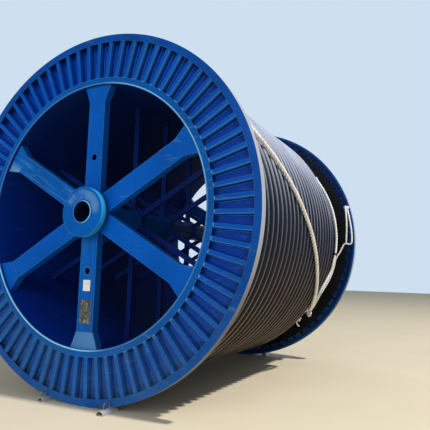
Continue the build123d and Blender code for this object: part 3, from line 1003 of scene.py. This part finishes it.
def make_rib_welds():
    """Short beads that join each rib's land to the inner ring and to the rim."""
    tree = bead_ring_tree()
    for side in ("front", "back"):
        low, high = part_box(f"{side}_corrugated_web")
        shared = {"Count": float(rib_count), "Along": low.y if side == "front" else high.y,
                  "Axis Height": axis_height, "Length": bead_length, "Height": bead_height,
                  "Material": bead_paint}
        rows = [grown("beads", tree, dict(shared, Radius=radius))
                for radius in (ring_radius + bead_gap, rim_radius - rim_face_width - bead_gap)]
        piece(f"{side}_rib_welds", joined(f"{side}_rib_welds", rows, bead_paint))


def bead_across(shape, turn, segments=10, points=5):
    """Low rounded bead across the root of a spoke's flare, turned about the axis."""
    rows = []
    for k in range(segments + 1):
        row = []
        for j in range(points):
            bend = pi*j/(points - 1)
            point = Vector((spoke_width*(k/segments - 0.5), -spoke_reach - flare_bead_lift*sin(bend),
                            flare_start + flare_bead_half_width*cos(bend)))
            row.append(shape.verts.new(turn @ point + Vector((0, 0, axis_height))))
        rows.append(row)
    wrapped(shape, rows, closed=False)
    shape.faces.new(rows[0])
    shape.faces.new(list(reversed(rows[-1])))


def make_flare_welds():
    """Beads across the three spokes whose flares were welded on, on the front flange."""
    shape = bmesh.new()
    for k in (3, 4, 5):
        bead_across(shape, Matrix.Rotation(tau*k/spoke_count, 3, "Y"))
    piece("flare_welds", finished(shape, "flare_welds", spoke_paint))


def make_label():
    """Bare white label on the bottom spoke, one corner lifting."""
    shape = bmesh.new()
    columns, rows = 8, 10
    grid = []
    for j in range(rows + 1):
        line = []
        for k in range(columns + 1):
            x = label_width*(k/columns - 0.5)
            z = label_height*(j/rows - 0.5)
            corner = max(0.0, k/columns + j/rows - 1.6)
            y = -spoke_reach - 2*label_thickness - label_curl*corner**2
            line.append(shape.verts.new((x, y, axis_height - label_drop + z)))
        grid.append(line)
    for lower, upper in zip(grid, grid[1:]):
        for k in range(columns):
            shape.faces.new((lower[k], lower[k + 1], upper[k + 1], upper[k]))
    shape.normal_update()
    bmesh.ops.solidify(shape, geom=shape.faces[:], thickness=label_thickness)
    piece("bare_label", finished(shape, "bare_label", label_white, rounded=False))


def make_rivets():
    """Four dome rivets that hold the nameplate."""
    shape = bmesh.new()
    for x in (plate_low.x + rivet_inset, plate_high.x - rivet_inset):
        for z in (plate_low.z + rivet_inset, plate_high.z - rivet_inset):
            place = Matrix.Translation((x, plate_low.y, z)) @ Matrix.Diagonal((1, 0.5, 1, 1))
            bmesh.ops.create_uvsphere(shape, u_segments=10, v_segments=6, radius=rivet_radius,
                                      matrix=place)
    piece("plate_rivets", finished(shape, "plate_rivets", rod_steel))


# Stage

camera_place = (4.0433, -6.9259, 1.5422)
camera_yaw, camera_pitch, camera_roll = 27.08, 7.02, -1.59      # degrees, from a level look along +Y
camera_lens = 40.92
floor_reach = 60.0
sky_strength = 0.38


def make_camera():
    """Camera at the photograph's viewpoint."""
    data = bpy.data.cameras.new("camera")
    data.sensor_fit = "HORIZONTAL"
    data.sensor_width = 36.0
    data.lens = camera_lens
    data.clip_end = 200.0
    camera = linked("camera", data)
    camera.matrix_world = (Matrix.Translation(camera_place)
                           @ Matrix.Rotation(radians(camera_yaw), 4, "Z")
                           @ Matrix.Rotation(radians(camera_pitch), 4, "X")
                           @ Matrix.Rotation(radians(camera_roll), 4, "Y")
                           @ Matrix.Rotation(pi/2, 4, "X"))
    bpy.context.scene.camera = camera


def make_floor():
    """Plain pale floor."""
    material, tree = new_material("floor")
    base = mixed(tree, noise(tree, object_place(tree), 0.7, 5.0), srgb(200, 188, 162), srgb(214, 202, 178))
    finish(tree, base, 0.9)
    mesh = bpy.data.meshes.new("floor")
    mesh.from_pydata([(x*floor_reach, y*floor_reach, 0) for x, y in ((-1, -1), (1, -1), (1, 1), (-1, 1))],
                     [], [(0, 1, 2, 3)])
    mesh.materials.append(material)
    linked("floor", mesh)


def make_world():
    """Soft sky light, with a pale plain background."""
    world = bpy.data.worlds.new("world")
    bpy.context.scene.world = world
    world.use_nodes = True
    tree = world.node_tree
    tree.nodes.clear()
    path = node(tree, "ShaderNodeLightPath").outputs
    seen = calc(tree, "MAXIMUM", path["Is Camera Ray"],
                calc(tree, "MAXIMUM", path["Is Glossy Ray"], path["Is Transmission Ray"]))
    light = output(tree, "ShaderNodeBackground", {"Color": (0.80, 0.88, 1.0, 1.0), "Strength": sky_strength})
    sight = output(tree, "ShaderNodeBackground", {"Color": srgb(206, 224, 240), "Strength": 1.0})
    mix = output(tree, "ShaderNodeMixShader", {0: seen, 1: light, 2: sight})
    node(tree, "ShaderNodeOutputWorld", {0: mix})


def make_lamp(name, place, size, power, colour):
    """Square soft light that is aimed at the drum's middle."""
    data = bpy.data.lights.new(name, "AREA")
    data.size = size
    data.energy = power
    data.color = colour
    lamp = linked(name, data)
    lamp.location = place
    lamp.rotation_mode = "QUATERNION"
    lamp.rotation_quaternion = (Vector((0, 0, axis_height)) - Vector(place)).to_track_quat("-Z", "Y")


def make_lights():
    """High key from the drum's right, and a broad fill in front."""
    make_lamp("key", (19.8, -1.3, 30.5), 1.2, 13000, (1.0, 0.97, 0.92))
    make_lamp("fill", (1.0, -14.0, 6.0), 8.0, 760, (0.90, 0.95, 1.0))


make_camera()
make_ropes()
make_cable()
coat_frame()
make_rib_welds()
make_flare_welds()
make_label()
make_rivets()
make_tape_band()
make_floor()
make_world()
make_lights()
bpy.context.scene.view_settings.view_transform = "Standard"

bpy.context.view_layer.update()
